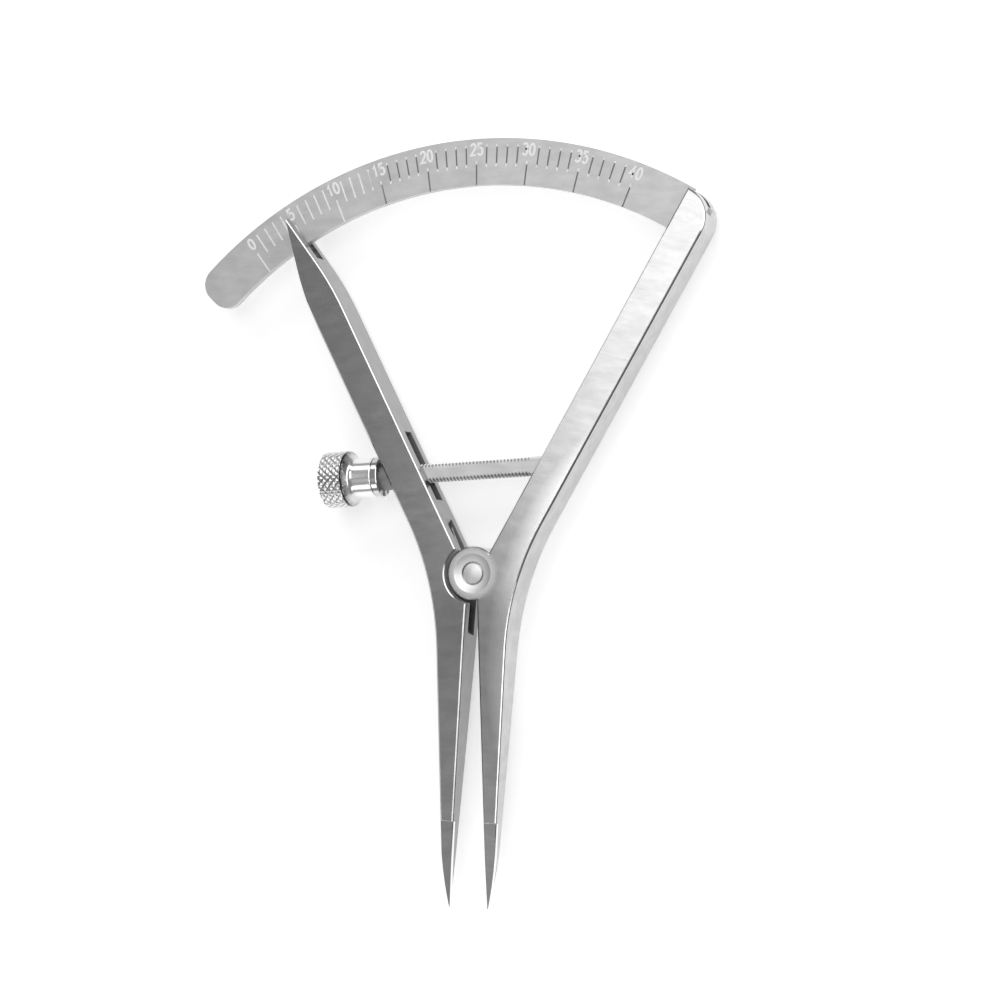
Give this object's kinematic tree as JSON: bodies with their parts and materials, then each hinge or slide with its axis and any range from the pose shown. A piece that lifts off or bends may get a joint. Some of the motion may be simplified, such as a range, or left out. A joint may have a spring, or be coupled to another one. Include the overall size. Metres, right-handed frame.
{
  "type": "caliper",
  "caption": "Slim steel pocket caliper: pivoted needle-pointed arms, a pointer reading on a graduated arc, and a knurled nut on a flat-sided screw that sets the opening.",
  "frame": {"origin": "on the axis of the pivot pin, in the plane of the arms' back faces", "axes": "+Y from the needle points towards the graduated arc, +Z out of the graduated face, +X towards the arm that carries the arc"},
  "size_m": [0.067, 0.0935, 0.007],
  "materials": {
    "satin_steel": "satin",
    "arc_steel": "satin",
    "polished_steel": "polished",
    "spring_steel": "polished"
  },
  "bodies": {
    "scale_side": {"scale_arm": "satin_steel", "scale_arc": "arc_steel", "arc_rivet": "satin_steel", "pivot_pin": "polished_steel", "screw_pin": "satin_steel", "spring": "spring_steel"},
    "pointer_side": {"pointer_arm": "satin_steel"},
    "screw": {"adjusting_screw": "polished_steel"},
    "washer": {"seat_washer": "polished_steel"},
    "nut": {"knurled_nut": "polished_steel"}
  },
  "joints": [
    {"name": "arm_pivot", "type": "hinge", "parent": "scale_side", "child": "pointer_side", "pos_m": [0, 0, 0.0024], "axis": [0, 0, -1], "range_deg": [-6.9, 52.45], "deforming": ["spring"]},
    {"name": "screw_swing", "type": "hinge", "parent": "scale_side", "child": "screw", "pos_m": [0.00999, 0.01338, 0.0024], "axis": [0, 0, -1], "range_deg": [-3.5, 26.27]},
    {"name": "nut_travel", "type": "slide", "parent": "screw", "child": "washer", "axis": [0.9974, 0.0726, 0], "range_m": [-0.00168, 0.01273]},
    {"name": "nut_spin", "type": "hinge", "parent": "washer", "child": "nut", "pos_m": [-0.01183, 0.01179, 0.0024], "axis": [0.9974, 0.0726, 0], "continuous": true}
  ],
  "couplings": [
    {"joint": "screw_swing", "follows": "arm_pivot", "ratio": 0.5},
    {"joint": "nut_travel", "follows": "arm_pivot", "m_per_rad": 0.0139},
    {"joint": "nut_spin", "follows": "arm_pivot", "ratio": 194.08}
  ]
}
